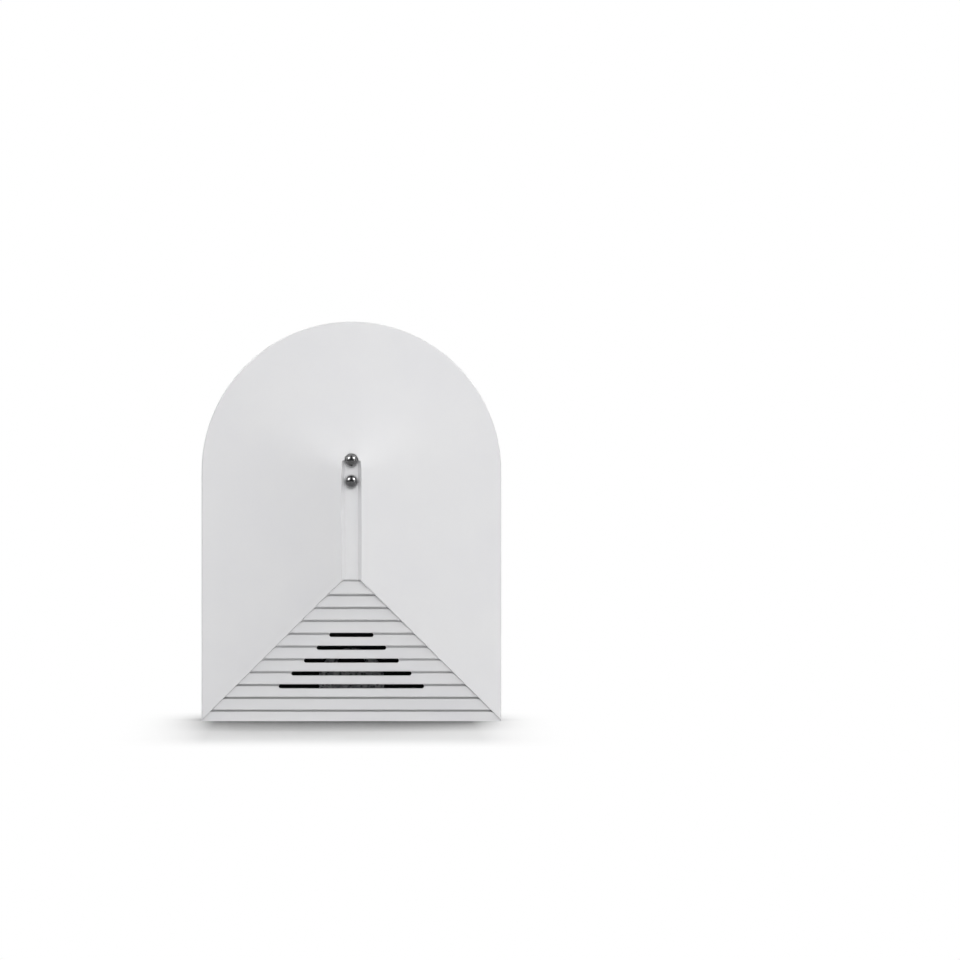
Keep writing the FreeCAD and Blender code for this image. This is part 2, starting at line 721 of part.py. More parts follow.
def mic_felt():
    capsule_front, felt_front, boot_front = mic_depths()
    return rod(0, CAPSULE_Z, CAPSULE_RADIUS, capsule_front, felt_front)


def terminal_block():
    """Block with a screw well and a wire mouth for each way."""
    half_length = TERMINAL_PITCH * TERMINAL_WAYS / 2
    half = TERMINAL_BODY_WIDTH / 2
    top = BOARD_FRONT_DEPTH + TERMINAL_HEIGHT
    z0 = TERMINAL_Z - half_length
    z1 = TERMINAL_Z + half_length
    body = block(TERMINAL_X - half, TERMINAL_X + half, BOARD_FRONT_DEPTH, top, z0, z1)
    well_floor = top - TERMINAL_WELL_DEPTH
    mouth = TERMINAL_MOUTH / 2
    mouth_top = well_floor - TERMINAL_MOUTH_DROP
    cutters = []
    for x, z in terminal_places():
        cutters.append(centred_block(x, z, TERMINAL_WELL, TERMINAL_WELL, well_floor, top + BEYOND))
        x0 = TERMINAL_X - half - BEYOND
        x1 = TERMINAL_X - half + TERMINAL_MOUTH
        cutters.append(block(x0, x1, mouth_top - TERMINAL_MOUTH, mouth_top, z - mouth, z + mouth))
    return body.cut(Part.makeCompound(cutters))


def terminal_screws():
    floor = BOARD_FRONT_DEPTH + TERMINAL_HEIGHT - TERMINAL_WELL_DEPTH
    top = floor + TERMINAL_SCREW_LENGTH
    slot_floor = top - SCREW_SLOT_DEPTH
    screws = []
    for x, z in terminal_places():
        screw = rod(x, z, TERMINAL_SCREW_RADIUS, floor, top)
        slot = centred_block(x, z, TERMINAL_WELL, SCREW_SLOT_WIDTH, slot_floor, top + BEYOND)
        screws.append(screw.cut(slot))
    return Part.makeCompound(screws)


def relay():
    d1 = BOARD_FRONT_DEPTH + RELAY_HEIGHT
    body = centred_block(RELAY_X, RELAY_Z, RELAY_WIDTH, RELAY_LENGTH, BOARD_FRONT_DEPTH, d1)
    edges = [e for e in body.Edges if abs(e.CenterOfMass.y - (BACK_Y - d1)) < 1e-6]
    return body.makeChamfer(CASE_BREAK, edges)


def tamper_switch():
    """Body of the switch, with the round bore that the plunger runs in."""
    d1 = BOARD_FRONT_DEPTH + TAMPER_BODY_HEIGHT
    body = centred_block(TAMPER_X, TAMPER_Z, TAMPER_SIZE, TAMPER_SIZE, BOARD_FRONT_DEPTH, d1)
    floor = d1 - PLUNGER_BURIED - PLUNGER_TRAVEL - FIT_GAP
    bore = rod(TAMPER_X, TAMPER_Z, PLUNGER_RADIUS + PLUNGER_FIT, floor, d1 + BEYOND)
    return body.cut(bore)


def tamper_plunger():
    base = PLUNGER_TIP_DEPTH - PLUNGER_PROUD - PLUNGER_BURIED
    body = rod(TAMPER_X, TAMPER_Z, PLUNGER_RADIUS, base, PLUNGER_TIP_DEPTH)
    tip = [e for e in body.Edges if abs(e.CenterOfMass.y - (BACK_Y - PLUNGER_TIP_DEPTH)) < 1e-6]
    return body.makeChamfer(FIT_GAP, tip)


def jumper_middle():
    return JUMPER_X + JUMPER_PITCH * (JUMPER_PAIRS - 1) / 2


def jumper_base():
    d1 = BOARD_FRONT_DEPTH + JUMPER_BASE_HEIGHT
    width = JUMPER_PITCH * JUMPER_PAIRS
    body = centred_block(jumper_middle(), JUMPER_Z, width, 2 * JUMPER_PITCH, BOARD_FRONT_DEPTH, d1)
    holes = []
    for x, z in jumper_places():
        holes.append(centred_block(x, z, PIN_SIZE, PIN_SIZE, BOARD_FRONT_DEPTH - BEYOND, d1 + BEYOND))
    return body.cut(Part.makeCompound(holes))


def jumper_caps():
    """Push-on bridges over the first and last pair of pins."""
    d0 = BOARD_FRONT_DEPTH + JUMPER_BASE_HEIGHT
    width = JUMPER_PITCH - JUMPER_CAP_WALL
    inner = BOARD_FRONT_DEPTH + JUMPER_PIN_HEIGHT
    caps = []
    for i in (0, JUMPER_PAIRS - 1):
        x = JUMPER_X + JUMPER_PITCH * i
        body = centred_block(x, JUMPER_Z, width, 2 * JUMPER_PITCH, d0, d0 + JUMPER_CAP_HEIGHT)
        for row in (-1, 1):
            z = JUMPER_Z + row * JUMPER_PITCH / 2
            body = body.cut(centred_block(x, z, PIN_SIZE, PIN_SIZE, d0 - BEYOND, inner))
        caps.append(body)
    return Part.makeCompound(caps)


def chip(x, z, length, width, height):
    """Moulded chip body, its long side across, with one end marked by a notch."""
    d0 = BOARD_FRONT_DEPTH + CHIP_LIFT
    body = centred_block(x, z, length, width, d0, d0 + height)
    half = width / 10
    notch = centred_block(x - length / 2, z, 2 * half, 2 * half, d0 + height / 2, d0 + height + BEYOND)
    return body.cut(notch)


def chip_legs(x, z, width, height, count):
    """Bent legs along both long sides."""
    foot = BOARD_FRONT_DEPTH
    shoulder = foot + CHIP_LIFT + height / 2
    t = LEG_THICKNESS
    legs = []
    for i in range(count):
        centre = x + (i - (count - 1) / 2) * LEG_PITCH
        for side in (-1, 1):
            edge = width / 2
            points = [
                (edge, shoulder), (edge + LEG_REACH / 2, shoulder), (edge + LEG_REACH / 2, foot + t),
                (edge + LEG_REACH, foot + t), (edge + LEG_REACH, foot),
                (edge + LEG_REACH / 2 - t, foot), (edge + LEG_REACH / 2 - t, shoulder - t),
                (edge, shoulder - t), (edge, shoulder),
            ]
            corners = [at(centre - LEG_WIDTH / 2, d, z + side * off) for off, d in points]
            legs.append(Part.Face(Part.makePolygon(corners)).extrude(Vector(LEG_WIDTH, 0, 0)))
    return Part.makeCompound(legs)


def can_capacitor(x, z, radius, height):
    """Electrolytic can with its shoulder drawn in."""
    d1 = BOARD_FRONT_DEPTH + height
    body = rod(x, z, radius, BOARD_FRONT_DEPTH, d1)
    rim = [e for e in body.Edges if abs(e.CenterOfMass.y - (BACK_Y - d1)) < 1e-6]
    return body.makeChamfer(CASE_BREAK, rim)


def crystal():
    """Flat crystal can with round ends."""
    d1 = BOARD_FRONT_DEPTH + CRYSTAL_HEIGHT
    return obround(CONTROLLER_X, CRYSTAL_Z, CRYSTAL_LENGTH, CRYSTAL_WIDTH, BOARD_FRONT_DEPTH, d1)


def varistor():
    """Surge disc standing on the board, with a small foot."""
    middle = BOARD_FRONT_DEPTH + VARISTOR_RADIUS
    start = at(VARISTOR_X, middle, VARISTOR_Z - VARISTOR_THICKNESS / 2)
    disc = Part.makeCylinder(VARISTOR_RADIUS, VARISTOR_THICKNESS, start, Vector(0, 0, 1))
    half = VARISTOR_RADIUS / 2
    z0 = VARISTOR_Z - VARISTOR_THICKNESS / 2
    z1 = z0 + VARISTOR_THICKNESS
    foot = block(VARISTOR_X - half, VARISTOR_X + half, BOARD_FRONT_DEPTH, middle, z0, z1)
    return joined([disc, foot])


def regulator():
    d1 = BOARD_FRONT_DEPTH + REGULATOR_HEIGHT
    body = rod(REGULATOR_X, REGULATOR_Z, REGULATOR_RADIUS, BOARD_FRONT_DEPTH, d1)
    low = REGULATOR_Z - REGULATOR_FLAT
    keep = block(REGULATOR_X - REGULATOR_RADIUS, REGULATOR_X + REGULATOR_RADIUS, 0, d1, low, TOP_Z)
    return body.common(keep)


def surge_diodes():
    d1 = BOARD_FRONT_DEPTH + DIODE_HEIGHT
    bodies = []
    for z in DIODE_ZS:
        bodies.append(centred_block(DIODE_X, z, DIODE_LENGTH, DIODE_WIDTH, BOARD_FRONT_DEPTH, d1))
    return Part.makeCompound(bodies)


def chip_rows(rows, count, height):
    """Rows of small surface parts, side by side along X."""
    d1 = BOARD_FRONT_DEPTH + height
    parts = []
    for x, drop in rows:
        for i in range(count):
            place = x + i * CHIP_ROW_PITCH
            z = ARCH_CENTRE_Z - drop
            parts.append(centred_block(place, z, CHIP_WIDTH, CHIP_LENGTH, BOARD_FRONT_DEPTH, d1))
    return Part.makeCompound(parts)


def pieces():
    """Every separate piece of the sensor, by name."""
    made = {
        "front_cover": front_cover(),
        "back_plate": back_plate(),
        "circuit_board": circuit_board(),
        "led_upper": light(LED_ZS[0]),
        "led_lower": light(LED_ZS[1]),
        "led_leads": pins(led_pin_places(), LED_BASE_DEPTH),
        "led_spacer": led_spacer(),
        "mic_boot": mic_boot(),
        "mic_capsule": mic_capsule(),
        "mic_felt": mic_felt(),
        "mic_pins": pins(capsule_pin_places(), BOARD_FRONT_DEPTH + FIT_GAP),
        "terminal_block": terminal_block(),
        "terminal_screws": terminal_screws(),
        "terminal_pins": pins(terminal_places(), BOARD_FRONT_DEPTH),
        "relay": relay(),
        "relay_pins": pins(relay_pin_places(), BOARD_FRONT_DEPTH),
        "tamper_switch": tamper_switch(),
        "tamper_pins": pins(tamper_pin_places(), BOARD_FRONT_DEPTH),
        "tamper_plunger": tamper_plunger(),
        "jumper_base": jumper_base(),
        "jumper_pins": pins(jumper_places(), BOARD_FRONT_DEPTH + JUMPER_PIN_HEIGHT),
        "jumper_caps": jumper_caps(),
        "controller_chip": chip(
            CONTROLLER_X, CONTROLLER_Z, CONTROLLER_LENGTH, CONTROLLER_WIDTH, CONTROLLER_HEIGHT
        ),
        "controller_legs": chip_legs(
            CONTROLLER_X, CONTROLLER_Z, CONTROLLER_WIDTH, CONTROLLER_HEIGHT, CONTROLLER_LEG_COUNT
        ),
        "amplifier_chip": chip(
            AMPLIFIER_X, AMPLIFIER_Z, AMPLIFIER_LENGTH, AMPLIFIER_WIDTH, AMPLIFIER_HEIGHT
        ),
        "amplifier_legs": chip_legs(
            AMPLIFIER_X, AMPLIFIER_Z, AMPLIFIER_WIDTH, AMPLIFIER_HEIGHT, AMPLIFIER_LEG_COUNT
        ),
        "crystal": crystal(),
        "varistor": varistor(),
        "regulator": regulator(),
        "surge_diodes": surge_diodes(),
        "chip_resistors": chip_rows(RESISTOR_ROWS, RESISTORS_IN_ROW, RESISTOR_HEIGHT),
        "chip_capacitors": chip_rows(
            CHIP_CAPACITOR_ROWS, CHIP_CAPACITORS_IN_ROW, CHIP_CAPACITOR_HEIGHT
        ),
    }
    for name, x, z, radius, height in CAPACITORS:
        made[name] = can_capacitor(x, z, radius, height)
    return made


os.makedirs("parts", exist_ok=True)
for name, shape in pieces().items():
    if not shape.isValid():
        print("not valid:", name)
    print(name, len(shape.Solids), round(shape.Volume, 1))
    shape.exportStep("parts/" + name + ".step")
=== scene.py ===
import json
import math

import bmesh
import bpy
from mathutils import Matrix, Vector


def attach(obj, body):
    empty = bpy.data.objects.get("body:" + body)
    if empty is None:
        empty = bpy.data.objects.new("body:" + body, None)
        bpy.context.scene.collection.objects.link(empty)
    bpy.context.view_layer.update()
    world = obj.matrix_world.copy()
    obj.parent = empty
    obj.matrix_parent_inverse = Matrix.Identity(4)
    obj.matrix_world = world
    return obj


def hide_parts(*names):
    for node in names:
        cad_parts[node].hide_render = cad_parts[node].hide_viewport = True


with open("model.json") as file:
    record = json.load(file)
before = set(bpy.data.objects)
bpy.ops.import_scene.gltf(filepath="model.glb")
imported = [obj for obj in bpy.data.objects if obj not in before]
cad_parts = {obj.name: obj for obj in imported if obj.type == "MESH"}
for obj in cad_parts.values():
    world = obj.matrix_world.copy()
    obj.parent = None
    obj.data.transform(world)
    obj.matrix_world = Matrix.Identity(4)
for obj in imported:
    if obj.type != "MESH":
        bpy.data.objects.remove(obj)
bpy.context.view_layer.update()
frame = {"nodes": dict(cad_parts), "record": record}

# Wall glass break sensor: the finish of its moulded cover and smoked lights, and of all that lies inside.
# Lengths are in mm unless a line says otherwise. Depth is counted from the wall: y = BACK_Y - depth.
MM = 0.001
BACK_Y = 12.5
ARCH_CENTRE_Z = 55.0
BOARD_BACK_DEPTH = 4.5

# Lights: a flange, a foot that fills the hole in the cover, and a round dome
LED_RADIUS = 1.38
LED_FOOT_RADIUS = 1.53
LED_FLANGE_RADIUS = 1.9
LED_BASE_DEPTH = 19.7
LED_FLANGE_DEPTH = 20.7
LED_FOOT_DEPTH = 22.92
LED_TIP_DEPTH = 25.0
LED_PITCH = 4.58
LED_ZS = (ARCH_CENTRE_Z + LED_PITCH / 2, ARCH_CENTRE_Z - LED_PITCH / 2)
FLANGE_BREAK = 0.08
FOOT_BREAK = 0.02
DOME_RINGS = 17
ROUND_STEPS = 64
# The foot is pale from the dome's radius outwards, and only near its face: further back it is smoked again
PALE_RADII = (LED_RADIUS - 0.01, LED_RADIUS + 0.02)
PALE_DEPTHS = (LED_FOOT_DEPTH - 0.5, LED_FOOT_DEPTH - 0.4)

# Sound slots, from the top one down: the lip over it, its width, and the depth of the face under its lip
SLOT_HEIGHT = 0.95
SLOTS = tuple((19.565 - 2.845 * i, 9.7 + 5.58 * i, depth)
              for i, depth in enumerate((18.065, 17.219, 16.459, 15.784, 15.192)))
SLAT_STEP = 0.43
SLOT_WALL = 1.4
SLOT_LAP = 0.03
FACE_SINK = 0.01
FILLET_STEPS = 8

# Solder joints: pin fields on the board's back, as columns, rows, their pitches, and the middle in x and z
PIN_FIELDS = (
    (2, 2, 2.54, LED_PITCH, 0.0, ARCH_CENTRE_Z),
    (1, 6, 0.0, 3.5, -17.5, 37.4),
    (2, 3, 5.08, 5.08, 17.5, 39.4),
    (2, 2, 5.0, 5.0, 20.0, 19.0),
    (3, 2, 2.54, 2.54, 12.14, 50.6),
    (2, 1, 2.54, 0.0, 0.0, 12.4),
)
SOLDER_FOOT_RADIUS = 0.95
SOLDER_NECK_RADIUS = 0.40
SOLDER_HEIGHT = 0.95
SOLDER_UNEVENNESS = 0.09
SOLDER_SEED = 4

# Patterns: what nearly all of a noise lies between, and the sizes and reliefs of the finishes. Grains are
# drawn a little coarser than real ones, which are too fine to show. Streaks are STREAK_STRETCH times as long
# as they are wide
NOISE_LOW = 0.3
NOISE_HIGH = 0.7
FLOW_SIZE = 14.0
GLOSS_SIZE = 4.0
GLOSS_DRIFT = 0.03
STREAK_STRETCH = 12.5
STREAK_RELIEF = 0.0015
HAZE_SIZE = 0.6
CELL_SIZE = 0.75
CELL_RELIEF = 0.12
CELL_PATCH_SIZE = 1.6
COPPER_SIZE = 3.4
COPPER_RELIEF = 0.035
MASK_SIZE = 1.0

# Painted shade in the crevices under the laps: how near a wall has to be, how much open sky is dark and is
# clear, and the heights between which the painted shade goes from that of the lowest laps, which lie deepest,
# to that of the others
PAINTED_SHADE_REACH = 0.8
PAINTED_SHADE_SKY = (0.35, 0.8)
PAINTED_SHADE_HEIGHTS = (6.0, 12.0)

# Floor: its half width, the reach and strength of the painted contact shade, and the middle of the shaded
# patch, with the distances across and ahead between which it goes over into plain white
FLOOR_HALF = 3000.0
PAINTED_CONTACT_REACH = 50.0
PAINTED_CONTACT_POWER = 2.45
PATCH_MIDDLE = (-1.8, -35.0)
PATCH_ACROSS = (28.0, 50.0)
PATCH_ACROSS_POWER = 2.8
PATCH_AHEAD = (44.0, 88.0)
MIRRORED_FLOOR_YS = (-20.0, 30.0)

# Lamps: place, width and height of the soft face in metres, power in watts, and whether gloss shows the face
LAMPS = (
    ("softbox_right", (0.62, -0.36, 0.58), 0.26, 0.40, 0.85, True),
    ("softbox_left", (-0.62, -0.36, 0.58), 0.26, 0.40, 1.15, True),
    ("softbox_front", (0.10, -1.45, 0.16), 0.80, 0.30, 2.0, False),
    ("softbox_high_front", (0.10, -1.20, 0.75), 0.60, 0.40, 7.2, False),
    ("softbox_top", (0.05, -0.45, 1.00), 0.60, 0.40, 0.8, False),
    ("softbox_low_right", (0.90, -0.55, 0.12), 0.40, 0.40, 1.2, True),
    ("softbox_back", (0.12, 0.60, 0.75), 0.70, 0.50, 6.2, True),
)
LAMP_AIM = (0, 0, 0.044)

# What gloss shows of the room, where the white backdrop is 1: the dim room, the backdrop towards +Y, and two
# strip lights high in front, each with a glow and a core, given as where it begins, where it is full, and its
# strength
DIM_ROOM = 0.10
BACKDROP_FROM = -0.1
BACKDROP_FULL = 0.3
STRIP_WAY = (0.652, -0.311, 0.692)
STRIP_GLOW = (0.80, 0.97, 2.6)
STRIP_CORE = (0.974, 0.987, 13.0)

# Camera: level and straight on, the sensor left of the middle and low in a square picture
PICTURE = 960
SENSOR_MIDDLE_X = 351.4
SENSOR_MIDDLE_Y = 521.4
PIXELS_PER_MM = 299.8 / 66.0
CAMERA_DISTANCE = 1000.0
CAMERA_HEIGHT = 44.0
CAMERA_SENSOR_WIDTH = 36.0
SILHOUETTE_Y = -2.5


def linear(colour):
    """Linear RGBA from an sRGB hex value such as #D8D8D6."""
    parts = [int(colour[i:i + 2], 16) / 255 for i in (1, 3, 5)]
    return [c / 12.92 if c <= 0.04045 else ((c + 0.055) / 1.055) ** 2.4 for c in parts] + [1.0]


def add(tree, kind, settings=(), **inputs):
    """A node with its settings and inputs: a value is set, and a socket or a node's first live output linked.

    An input goes by its name, with _ for a space, or by _ and its number.
    """
    made = tree.nodes.new(kind)
    for key, value in dict(settings).items():
        setattr(made, key, value)
    for key, value in inputs.items():
        socket = made.inputs[int(key[1:]) if key[0] == "_" else key.replace("_", " ")]
        if isinstance(value, bpy.types.Node):
            value = next(output for output in value.outputs if output.enabled)
        if isinstance(value, bpy.types.NodeSocket):
            tree.links.new(value, socket)
        else:
            socket.default_value = value
    return made


def begin(name):
    """A new material, its empty tree, and the object coordinates in mm."""
    made = bpy.data.materials.new(name)
    made.use_nodes = True
    tree = made.node_tree
    tree.nodes.clear()
    place = add(tree, "ShaderNodeTexCoord").outputs["Object"]
    return made, tree, add(tree, "ShaderNodeVectorMath", {"operation": "SCALE"}, _0=place, Scale=1 / MM)


def moulded(name, light, dark, roughness, grain_size, grain_relief, ior=1.53, painted_crevice_shade=None):
    """Moulded, cast or dipped plastic: faint flow mottle, gloss that drifts a little, and a fine grain.

    Painted crevice shade gives how dark the painted shade is under the lowest laps and under the other laps,
    where the piece has laps: the colour is darkened where the piece's own walls lie near.
    """
    made, tree, mm = begin(name)
    flow = add(tree, "ShaderNodeTexNoise", Vector=mm, Scale=1 / FLOW_SIZE)
    flow = add(tree, "ShaderNodeMapRange", Value=flow, From_Min=NOISE_LOW, From_Max=NOISE_HIGH)
    colour = add(tree, "ShaderNodeMix", {"data_type": "RGBA"}, Factor=flow, A=linear(light), B=linear(dark))
    # Painted shade: the colour darkens where the piece's own walls lie near, in the crevices under its laps,
    # most low down
    if painted_crevice_shade:
        height = add(tree, "ShaderNodeSeparateXYZ", Vector=mm).outputs["Z"]
        darkest_painted_shade = add(tree, "ShaderNodeMapRange", Value=height, From_Min=PAINTED_SHADE_HEIGHTS[0],
                      From_Max=PAINTED_SHADE_HEIGHTS[1], To_Min=painted_crevice_shade[0], To_Max=painted_crevice_shade[1])
        sky = add(tree, "ShaderNodeAmbientOcclusion", {"samples": 4, "only_local": True},
                  Distance=PAINTED_SHADE_REACH * MM).outputs["AO"]
        shade = add(tree, "ShaderNodeMapRange", Value=sky, From_Min=PAINTED_SHADE_SKY[0], From_Max=PAINTED_SHADE_SKY[1],
                    To_Min=darkest_painted_shade, To_Max=1.0)
        colour = add(tree, "ShaderNodeVectorMath", {"operation": "SCALE"}, _0=colour, Scale=shade)
    gloss = add(tree, "ShaderNodeTexNoise", Vector=mm, Scale=1 / GLOSS_SIZE)
    gloss = add(tree, "ShaderNodeMapRange", Value=gloss, From_Min=NOISE_LOW, From_Max=NOISE_HIGH,
                To_Min=roughness - GLOSS_DRIFT, To_Max=roughness + GLOSS_DRIFT)
    grain = add(tree, "ShaderNodeTexNoise", Vector=mm, Scale=1 / grain_size, Detail=3.0)
    bump = add(tree, "ShaderNodeBump", Distance=grain_relief * MM, Height=grain)
    shader = add(tree, "ShaderNodeBsdfPrincipled", Base_Color=colour, Roughness=gloss, IOR=ior, Normal=bump)
    add(tree, "ShaderNodeOutputMaterial", Surface=shader)
    return made


def metal(name, light, dark, roughness, streak_size):
    """Plated or drawn metal: bright, with faint streaks along the depth from drawing and handling."""
    made, tree, mm = begin(name)
    drawn = add(tree, "ShaderNodeVectorMath", {"operation": "MULTIPLY"}, _0=mm,
                _1=(1.0, 1 / STREAK_STRETCH, 1.0))
    streak = add(tree, "ShaderNodeTexNoise", Vector=drawn, Scale=1 / streak_size)
    streak = add(tree, "ShaderNodeMapRange", Value=streak, From_Min=NOISE_LOW, From_Max=NOISE_HIGH)
    colour = add(tree, "ShaderNodeMix", {"data_type": "RGBA"}, Factor=streak, A=linear(light), B=linear(dark))
    gloss = add(tree, "ShaderNodeMapRange", Value=streak, To_Min=roughness - GLOSS_DRIFT,
                To_Max=roughness + GLOSS_DRIFT)
    bump = add(tree, "ShaderNodeBump", Distance=STREAK_RELIEF * MM, Height=streak)
    shader = add(tree, "ShaderNodeBsdfPrincipled", Base_Color=colour, Metallic=1.0, Roughness=gloss,
                 Normal=bump)
    add(tree, "ShaderNodeOutputMaterial", Surface=shader)
    return made


def smoked_epoxy(name):
    """Smoked epoxy cast in a polished mould. Near the cover its foot takes on the white of the cover."""
    made, tree, mm = begin(name)
    haze = add(tree, "ShaderNodeTexNoise", Vector=mm, Scale=1 / HAZE_SIZE)
    haze = add(tree, "ShaderNodeMapRange", Value=haze, From_Min=NOISE_LOW, From_Max=NOISE_HIGH)
    smoke = add(tree, "ShaderNodeMix", {"data_type": "RGBA"}, Factor=haze, A=linear("#1F2023"),
                B=linear("#17181A"))
    place = add(tree, "ShaderNodeSeparateXYZ", Vector=mm).outputs
    up = add(tree, "ShaderNodeMath", {"operation": "SUBTRACT"}, _0=place["Z"], _1=ARCH_CENTRE_Z)
    up = add(tree, "ShaderNodeMath", {"operation": "ABSOLUTE"}, _0=up)
    up = add(tree, "ShaderNodeMath", {"operation": "SUBTRACT"}, _0=up, _1=LED_PITCH / 2)
    from_axis = add(tree, "ShaderNodeCombineXYZ", X=place["X"], Y=up)
    from_axis = add(tree, "ShaderNodeVectorMath", {"operation": "LENGTH"}, _0=from_axis)
    ring = add(tree, "ShaderNodeMapRange", Value=from_axis, From_Min=PALE_RADII[0], From_Max=PALE_RADII[1])
    ahead = add(tree, "ShaderNodeMapRange", Value=place["Y"], From_Min=BACK_Y - PALE_DEPTHS[0],
                From_Max=BACK_Y - PALE_DEPTHS[1])
    foot = add(tree, "ShaderNodeMath", {"operation": "MULTIPLY"}, _0=ring, _1=ahead)
    colour = add(tree, "ShaderNodeMix", {"data_type": "RGBA"}, Factor=foot, A=smoke, B=linear("#D2D2D4"))
    clearness = add(tree, "ShaderNodeMapRange", Value=foot, To_Min=0.30, To_Max=0.0)
    shader = add(tree, "ShaderNodeBsdfPrincipled", Base_Color=colour, Transmission_Weight=clearness,
                 Roughness=0.03, IOR=1.56, Coat_Weight=1.0, Coat_Roughness=0.02, Coat_IOR=1.85)
    add(tree, "ShaderNodeOutputMaterial", Surface=shader)
    return made


def foamed_rubber(name):
    """Soft foamed silicone: open cells with painted shade dark inside them, and pale on the skins between
    them.
    """
    made, tree, mm = begin(name)
    cells = add(tree, "ShaderNodeTexVoronoi", Vector=mm, Scale=1 / CELL_SIZE)
    # Painted shade: dark in the middle of each cell, where its hollow lies, and pale towards the skins
    # between cells
    skin_and_painted_cell_shade = add(tree, "ShaderNodeMapRange", Value=cells, From_Min=0.18, From_Max=0.55)
    patch = add(tree, "ShaderNodeTexNoise", Vector=mm, Scale=1 / CELL_PATCH_SIZE)
    patch = add(tree, "ShaderNodeMapRange", Value=patch, From_Min=NOISE_LOW, From_Max=NOISE_HIGH, To_Min=0.35)
    skin_and_painted_cell_shade = add(tree, "ShaderNodeMath", {"operation": "MULTIPLY"}, _0=skin_and_painted_cell_shade, _1=patch)
    colour = add(tree, "ShaderNodeMix", {"data_type": "RGBA"}, Factor=skin_and_painted_cell_shade, A=linear("#47484A"),
                 B=linear("#A9AAAC"))
    bump = add(tree, "ShaderNodeBump", Distance=CELL_RELIEF * MM, Height=skin_and_painted_cell_shade)
    shader = add(tree, "ShaderNodeBsdfPrincipled", Base_Color=colour, Roughness=0.85, IOR=1.43, Normal=bump)
    add(tree, "ShaderNodeOutputMaterial", Surface=shader)
    return made


def laminate(name):
    """Glass-epoxy laminate under black solder mask: copper areas stand up a little under it."""
    made, tree, mm = begin(name)
    areas = add(tree, "ShaderNodeTexVoronoi", {"distance": "CHEBYCHEV"}, Vector=mm, Scale=1 / COPPER_SIZE)
    areas = add(tree, "ShaderNodeMapRange", Value=areas, From_Min=0.30, From_Max=0.36)
    colour = add(tree, "ShaderNodeMix", {"data_type": "RGBA"}, Factor=areas, A=linear("#141715"),
                 B=linear("#0A0B0A"))
    gloss = add(tree, "ShaderNodeTexNoise", Vector=mm, Scale=1 / MASK_SIZE)
    gloss = add(tree, "ShaderNodeMapRange", Value=gloss, From_Min=NOISE_LOW, From_Max=NOISE_HIGH, To_Min=0.42,
                To_Max=0.52)
    bump = add(tree, "ShaderNodeBump", {"invert": True}, Distance=COPPER_RELIEF * MM, Height=areas)
    shader = add(tree, "ShaderNodeBsdfPrincipled", Base_Color=colour, Roughness=gloss, Normal=bump)
    add(tree, "ShaderNodeOutputMaterial", Surface=shader)
    return made


